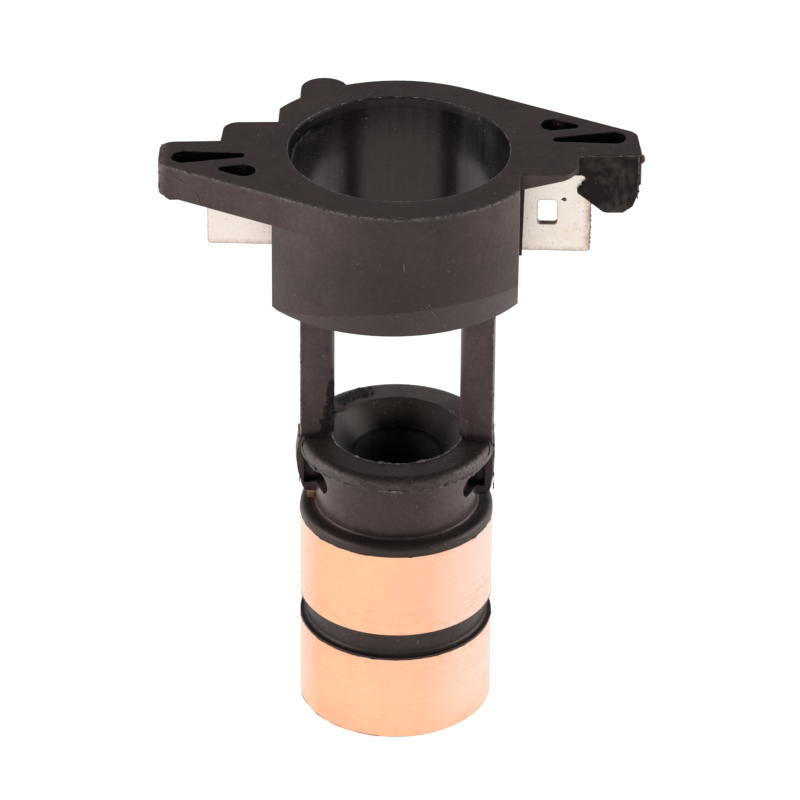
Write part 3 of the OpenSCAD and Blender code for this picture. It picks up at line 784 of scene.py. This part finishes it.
# %% Flash on the flange and the bore
EDGE_ANGLE, EDGE_DISTANCE, COLLAR_TOP = 243, 11.45, 49.9
normal = np.array((math.cos(math.radians(EDGE_ANGLE)), math.sin(math.radians(EDGE_ANGLE)), 0))
toward_tip = np.array((normal[1], -normal[0], 0))
stretch = np.linspace(14.2, 0, 290)[:, None]
arm_line = EDGE_DISTANCE * normal + stretch * toward_tip + (0, 0, COLLAR_TOP)
arc = around(EDGE_DISTANCE, EDGE_ANGLE, 324, COLLAR_TOP)
front_edge = np.concatenate([arm_line, arc[1:]]) - (0, 0, 0.04)
flash("flange_edge_flash", front_edge, RUBBED_AND_HIGHLIGHT, width=0.14, drift=0.08, spacing=0.25)
flash("flange_edge_flash_low", front_edge - (0, 0, 0.12), RUBBED_AND_HIGHLIGHT,
      width=0.06, drift=0.10, keep=0.45, spacing=0.3)
flash("bore_rim_flash", around(8.72, -60, 299, 49.875), RUBBED_AND_HIGHLIGHT, width=0.10, drift=0.08, keep=0.9)

back_line = stretch[::-1] * -toward_tip - EDGE_DISTANCE * normal + (0, 0, COLLAR_TOP - 0.06)
flash("flange_back_flash", back_line, BLACK_TORN, width=0.10, drift=0.05, keep=0.6, spacing=0.6)
# Pale lines along the hook's edges are painted highlights.
HOOK_EDGES = {"top": ((13.97, -0.62, 49.86), (18.66, -0.34, 49.86)),
              "inner": ((13.96, -0.62, 49.8), (13.96, -0.62, 48.4)),
              "outer": ((18.66, -0.33, 49.8), (18.60, -0.33, 46.0))}
for label, ends in HOOK_EDGES.items():
    flash("hook_edge_highlight_" + label, np.linspace(*np.array(ends), 90), RUBBED_AND_HIGHLIGHT,
          width=0.075, drift=0.05, keep=0.9)

# %% [markdown]
# The washer's edge is a quarter round. Its flash runs low at the front and climbs over the
# rounding towards the legs, so the radius is worked out from the height: the flat's radius plus
# the square root of the rounding squared less the height above its start squared.

# %% Flash on the legs, washer and funnel
WASHER_FLAT_R, WASHER_ROUND, ROUND_START = 7.15, 0.64, 23.85
FLASH_LOW, FLASH_CLIMB = 23.36, 1.05
turn = np.radians(np.linspace(-11, -169, 500))
sweep = np.clip((np.abs(turn + np.pi / 2) - math.radians(58)) / math.radians(21), 0, 1)
height = FLASH_LOW + FLASH_CLIMB * sweep ** 2
rim_r = WASHER_FLAT_R + np.sqrt(WASHER_ROUND ** 2 - np.maximum(height - ROUND_START, 0) ** 2)
washer_line = np.stack([rim_r * np.cos(turn), rim_r * np.sin(turn), height], 1)
flash("washer_flash", washer_line, DULL_AND_HIGHLIGHT, width=0.12, drift=0.07, spacing=0.8)
flash("funnel_flash", around(5.26, 150, 400, 24.40), DULL_AND_HIGHLIGHT, width=0.15, drift=0.07)

LEG_R, LEG_FOOT, LEG_HEAD = 7.74, 24.6, 39.0
LEG_CORNERS = {"right_front": -11, "left_front": 191, "right_back": 11, "left_back": 169}
for label, angle in LEG_CORNERS.items():
    foot, head = around(LEG_R, angle, angle, np.linspace(LEG_FOOT, LEG_HEAD, 8))[[0, -1]]
    rise = np.linspace(0, 1, 260)[:, None]
    flash("leg_flash_" + label, foot * (1 - rise) + head * rise, RUBBED_AND_HIGHLIGHT,
          width=0.10, drift=0.05, keep=0.95)

# %% Shoulder and ring rims
# The shoulder's pale line is a painted highlight.
flash("shoulder_highlight_line", around(7.62, 205, 335, 17.75), RUBBED_AND_HIGHLIGHT,
      width=0.05, drift=0.06, keep=0.6, spacing=0.8)
for label, rim_height in (("upper", 17.2), ("lower", 7.5)):
    flash(label + "_rim_residue", around(7.76, -160, 199, rim_height), BLACK_TORN,
          width=0.04, drift=0.04, keep=0.5, spacing=0.6)
flash("lower_end_residue", around(7.74, 190, 262, 0.16), BLACK_TORN,
      width=0.06, drift=0.02, keep=0.8, spacing=1.0)

# %% [markdown]
# ## Torn places
# The tip at -X crumbled when the part was broken out, the tip at +X has a torn side, the washer
# kept a torn flap behind the left leg, and the scar beside it is rough. Crumbs are scattered
# over each place. Those of the flap and the scar are scattered in a plain box and then sheared.

# %% Crumbs on the torn places


def scatter(rng, count, low, high, small, large):
    """Even random places in a box, with three random half sizes each."""
    return rng.uniform(low, high, (count, 3)), rng.uniform(small, large, (count, 3))


TORN_TIPS = (
    ("left_tip_crumbs", RED_TORN, 90, (-18.56, -3.15, 47.5), (-18.50, -0.2, 49.7), 0.04, 0.10),
    ("left_tip_top_crumbs", RED_TORN, 90, (-18.5, -3.2, 49.84), (-18.0, -0.2, 49.88), 0.04, 0.10),
    ("right_tip_crumbs", BLACK_TORN, 34, (18.58, -0.38, 46.6), (18.70, -0.15, 49.6), 0.04, 0.09))
for label, finish, *spread in TORN_TIPS:
    piece(label, crumbs(*scatter(rng, *spread), rng), finish)

flap, flap_size = scatter(rng, 30, (0, -0.55, 24.38), (1, 0.25, 24.46), 0.30, 0.52)
flap[:, :2] = flap[:, :1] * (2.3, 1.5) + (-4.8, 4.7) + flap[:, 1:2] * (-0.56, 0.83)
piece("washer_torn_flap", crumbs(flap, flap_size * (1, 1, 0.4), rng), BLACK_TORN)
scar, scar_size = scatter(rng, 34, (-5.42, -0.60, 24.8), (-5.05, -0.56, 29.0), 0.08, 0.2)
scar[:, 1] -= (-5.05 - scar[:, 0]) * 0.95
piece("left_leg_scar", crumbs(scar, scar_size * (1, 0.25, 1.8), rng), BLACK_TORN)
GROOVE_SPECK = (1.99, -6.97, 8.92)
piece("groove_speck", crumbs(*scatter(rng, 1, GROOVE_SPECK, GROOVE_SPECK, 0.07, 0.1), rng), FIBRE)

# %% Fins that stand off the edges


def ragged_fin(label, start, end, lean, height, thick=0.03, finish=BLACK_TORN):
    """A straight fin between two points, whose height wanders and ends in nothing."""
    start, end, lean = (np.array(v, float) for v in (start, end, lean))
    count = max(24, int(np.linalg.norm(end - start) / PATH_STEP))
    along = np.linspace(0, 1, count)[:, None]
    rough = wander(rng, count, count // 9) * wander(rng, count, count // 4)
    tall = height * (0.2 + rough) * np.minimum(1, 8 * np.sin(np.pi * along[:, 0]))
    base = start * (1 - along) + end * along
    return piece(label, fin(base, lean / np.linalg.norm(lean), tall, thick), finish)


ragged_fin("right_leg_fin", (7.62, -1.45, 39.0), (7.62, -1.45, 35.6), (1, -0.2, 0), 0.20)
ragged_fin("right_foot_fin", (7.72, -1.2, 26.0), (7.74, -1.0, 19.6), (1, -0.1, 0), 0.18)
ragged_fin("left_foot_fin", (-7.74, -1.2, 25.6), (-7.74, -1.0, 19.8), (-1, -0.1, 0), 0.18)
ragged_fin("left_leg_inner_fin", (-5.16, -0.60, 28.6), (-5.16, -0.60, 24.5), (1, -0.3, 0), 0.3)
ragged_fin("flap_fin", (-4.9, 4.9, 24.35), (-2.2, 6.5, 24.4), (0.5, 0.5, 0.9), 0.45, thick=0.08)
ragged_fin("hook_edge_fin", (18.66, -0.31, 49.3), (18.60, -0.31, 46.4), (0.3, -1, 0), 0.16,
           finish=RUBBED_AND_HIGHLIGHT)
burr, burr_size = scatter(rng, 70, (14.94, -0.28, 41.5), (14.98, -0.05, 46.2), 0.04, 0.11)
piece("plate_edge_burr", crumbs(burr, burr_size * (0.9, 0.3, 1.5), rng), BURR)

# %% [markdown]
# The rubbed edge of the flange is also full of specks, and at the left the bore's upper lip is
# torn: black lumps hang in the recess, with a ragged burr and a few pale specks on them, and a
# pale line of painted highlight along the burr. At the back right a pale line of painted highlight
# lies on the ledge of the recess.

# %% Specks on the flange's edge and the bore's lip
SPECKS, SPECK_SPREAD, SPECK_REACH = 260, 0.045, 0.055
spots = front_edge[rng.integers(0, len(front_edge), SPECKS)]
spots = spots + np.clip(rng.normal(0, SPECK_SPREAD, (SPECKS, 3)), -SPECK_REACH, SPECK_REACH)
speck_size = rng.uniform(0.04, 0.11, (SPECKS, 3))
piece("flange_edge_specks", crumbs(spots, speck_size, rng, 6, 3), RUBBED_AND_HIGHLIGHT)

LIP_R, LIP_BITS, LUMPS, FIRST_SPECK = 8.52, 110, 80, 94
turns = np.radians(rng.uniform(150, 238, LIP_BITS))
lip = np.stack([LIP_R * np.cos(turns), LIP_R * np.sin(turns),
                rng.uniform(48.2, 48.98, LIP_BITS)], 1)
lip_size = rng.uniform(0.04, 0.13, (LIP_BITS, 3))
piece("bore_lip_lumps", crumbs(lip[:LUMPS], lip_size[:LUMPS], rng), BLACK_TORN)
piece("bore_lip_specks", crumbs(lip[FIRST_SPECK:], 0.5 * lip_size[FIRST_SPECK:], rng), RUBBED_AND_HIGHLIGHT)
# Pale lines on the lip's burr and on the ledge at the back right are painted highlights.
flash("bore_lip_highlight_line", around(8.42, 158, 236, 48.92), DULL_AND_HIGHLIGHT,
      width=0.06, drift=0.12, keep=0.6, spacing=0.4)
flash("bore_lip_burr", around(8.42, 148, 246, 48.86), BLACK_TORN, width=0.19, drift=0.08)
flash("bore_ledge_highlight_line", around(8.62, 22, 112, 49.06), DULL_AND_HIGHLIGHT, width=0.09, drift=0.06, keep=0.9)

# %% [markdown]
# Each arm has a long and a short slot, both shaped like a drop. Their rims are ragged too. The
# outline of a drop is two arcs joined by the lines that touch both, and the left arm's slots
# are the right arm's, turned by half a turn.

# %% Ragged rims of the slots


def slot_outline(wide, wide_r, narrow, narrow_r, count=420):
    """Even points round a slot: an arc about its wide end, then one about its narrow end, joined
    by the lines that touch both. The cosine of the angle between the slot's axis and the spokes
    to those lines is the difference of the radii over the distance of the middles."""
    wide, narrow = np.array(wide), np.array(narrow)
    span = narrow - wide
    ahead = math.atan2(span[1], span[0])
    spoke = math.acos((wide_r - narrow_r) / np.linalg.norm(span))
    back = ahead + np.linspace(spoke, 2 * np.pi - spoke, 60)
    front = ahead + np.linspace(-spoke, spoke, 30)
    outline = np.concatenate([
        wide + wide_r * np.stack([np.cos(back), np.sin(back)], 1),
        narrow + narrow_r * np.stack([np.cos(front), np.sin(front)], 1)])
    outline = np.concatenate([outline, outline[:1]])
    way = np.concatenate([[0], np.linalg.norm(np.diff(outline, axis=0), axis=1).cumsum()])
    even = np.linspace(0, way[-1], count)
    return np.stack([np.interp(even, way, outline[:, 0]), np.interp(even, way, outline[:, 1])], 1)


# Middle and radius of the wide end, then of the narrow end, before the shift by ARMS_Y.
SLOTS = {"long": ((16.67, 2.35), 1.0, (12.3, 1.87), 0.42),
         "short": ((11.87, 4.32), 0.97, (13.5, 4.15), 0.42)}
RIM_HEIGHT = 49.87
for label, measures in SLOTS.items():
    for side, sign in (("right", 1), ("left", -1)):
        flat = sign * slot_outline(*measures) + (0, ARMS_Y)
        rim_line = np.concatenate([flat, np.full((len(flat), 1), RIM_HEIGHT)], 1)
        flash(f"{label}_slot_rim_{side}", rim_line, BLACK_TORN,
              width=0.075, drift=0.10, keep=0.8, spacing=0.35)

# %% [markdown]
# ## Loose fibres and curls
# A few curls of filler still hang on the skin. Each is a thread along a smooth curve: its
# control points are blended by Bernstein weights, which is a Bezier curve.

# %% Fibres
FIBRE_RADIUS, FIBRE_POINTS = 0.028, 40


def bezier(points):
    """Sum over the control points of weight * point, where the weight of point i among n is
    n-over-i * t^i * (1-t)^(n-i)."""
    points = np.asarray(points, float)
    order = len(points) - 1
    t = np.linspace(0, 1, FIBRE_POINTS)[:, None]
    share = [math.comb(order, i) * t ** i * (1 - t) ** (order - i) for i in range(order + 1)]
    return sum(weight * point for weight, point in zip(share, points))


def on_collar(*spots):
    """Points just outside the collar's skin, from pairs of an angle in degrees and a height. The
    radius is 11.47 on the wall. On the sloping band below, it is 11.14 at a height of 41, and
    0.352 more for each mm up from there."""
    reach = [(min(11.47, 11.14 + 0.352 * (z - 41)), math.radians(a), z) for a, z in spots]
    return [(r * math.cos(a), r * math.sin(a), z) for r, a, z in reach]


def on_arm(*spots):
    """Points just outside the arm's front face, from a distance along its edge and a height."""
    return [tuple((EDGE_DISTANCE + 0.03) * normal + s * toward_tip + (0, 0, z)) for s, z in spots]


FIBRES = [
    on_collar((282.2, 42.35), (283.6, 42.5), (286.0, 42.0), (283.6, 41.4), (286.4, 41.0),
              (288.4, 41.15)),
    on_collar((273.3, 46.05), (274.6, 45.9), (273.4, 45.4), (274.4, 45.2)),
    on_collar((317.3, 39.6), (316.5, 39.7), (317.6, 39.9), (316.8, 40.1)),
    on_arm((11.9, 48.3), (11.2, 48.3), (11.6, 47.5), (11.0, 47.3)),
    on_arm((13.7, 48.9), (13.3, 49.2), (12.9, 48.9), (12.5, 48.7)),
    [(5.2, -0.80, 33.3), (5.3, -0.92, 33.9), (6.1, -1.21, 34.4), (6.2, -1.22, 33.4),
     (5.7, -1.12, 32.8)],
]
paths = np.stack([bezier(points) for points in FIBRES])
thin = np.full(paths.shape[:2], FIBRE_RADIUS) * np.sin(np.linspace(0.3, np.pi - 0.3, FIBRE_POINTS))
piece("loose_fibres", threads(paths, thin), FIBRE)

# %% [markdown]
# ## Floor and light
# The object stands on a plain white floor in a white room. Camera, mirror and glass rays see
# the room at full white, while the light that falls on the object is gentler, so that a colour
# looks about as it is written. The floor is a diffuse sheet with a little white of its own for
# the camera, which hides its grain but keeps the object's soft shadow.

# %% Floor
FLOOR_HALF, FLOOR_GLOW = 1.5, 0.78


def camera_share(tree):
    """1 for rays from the camera, a mirror or glass, and 0 for light that is scattered."""
    path = add(tree, "LightPath").outputs
    return largest(tree, path["Is Camera Ray"], path["Is Glossy Ray"],
                   path["Is Transmission Ray"])


def floor_white():
    """Diffuse white with some white of its own for the camera."""
    material, tree, output, _ = new_material("studio_white")
    matt = add(tree, "BsdfDiffuse", {"Color": (0.8, 0.8, 0.8, 1)}).outputs[0]
    glow = add(tree, "Emission",
               {"Strength": product(tree, camera_share(tree), FLOOR_GLOW)}).outputs[0]
    both = add(tree, "AddShader", {0: matt, 1: glow}).outputs[0]
    tree.links.new(both, output.inputs["Surface"])
    return material


corners = [(x * FLOOR_HALF, y * FLOOR_HALF, 0) for x, y in ((-1, -1), (1, -1), (1, 1), (-1, 1))]
floor_mesh = bpy.data.meshes.new("floor")
floor_mesh.from_pydata(corners, [], [(0, 1, 2, 3)])
floor = bpy.data.objects.new("floor", floor_mesh)
floor_mesh.materials.append(floor_white())
bpy.context.scene.collection.objects.link(floor)
print("floor:", 2 * FLOOR_HALF, "m wide")

# %% World and lamps
world = bpy.data.worlds.new("white_room")
world.use_nodes = True
bpy.context.scene.world = world
tree = world.node_tree
tree.nodes.clear()
rise = add(tree, "SeparateXYZ", {0: add(tree, "TexCoord").outputs["Generated"]}).outputs["Z"]
dimmed = ramp(tree, rise, 0.15, 0.5, 1.0, 0.15)
level = ramp(tree, camera_share(tree), 0, 1, 0.5, 1.0)
room = add(tree, "Background", {"Color": (1, 1, 1, 1), "Strength": product(tree, dimmed, level)})
tree.links.new(room.outputs[0], add(tree, "OutputWorld").inputs["Surface"])


def softbox(name, place, aim, size, power):
    """A square area lamp that faces its aim."""
    lamp = bpy.data.lights.new(name, "AREA")
    lamp.size = size
    lamp.energy = power
    holder = bpy.data.objects.new(name, lamp)
    holder.location = place
    holder.rotation_euler = (Vector(aim) - Vector(place)).to_track_quat("-Z", "Y").to_euler()
    bpy.context.scene.collection.objects.link(holder)
    return holder


LAMP_TARGET = (0, 0, 0.03)
softbox("left_box", (-0.95, -0.28, 0.30), LAMP_TARGET, size=0.8, power=5.6)
softbox("right_box", (0.98, 0.12, 0.30), LAMP_TARGET, size=0.8, power=6.8)
bpy.context.scene.view_settings.view_transform = "Standard"

# %% [markdown]
# ## The CAD box
# What was added is kept inside the CAD model's box, which is printed here. What was added
# may not make the object larger than its CAD model.

# %% The CAD box
print("CAD box mm:", [[round(v / MM, 2) for v in corner] for corner in cad_box])
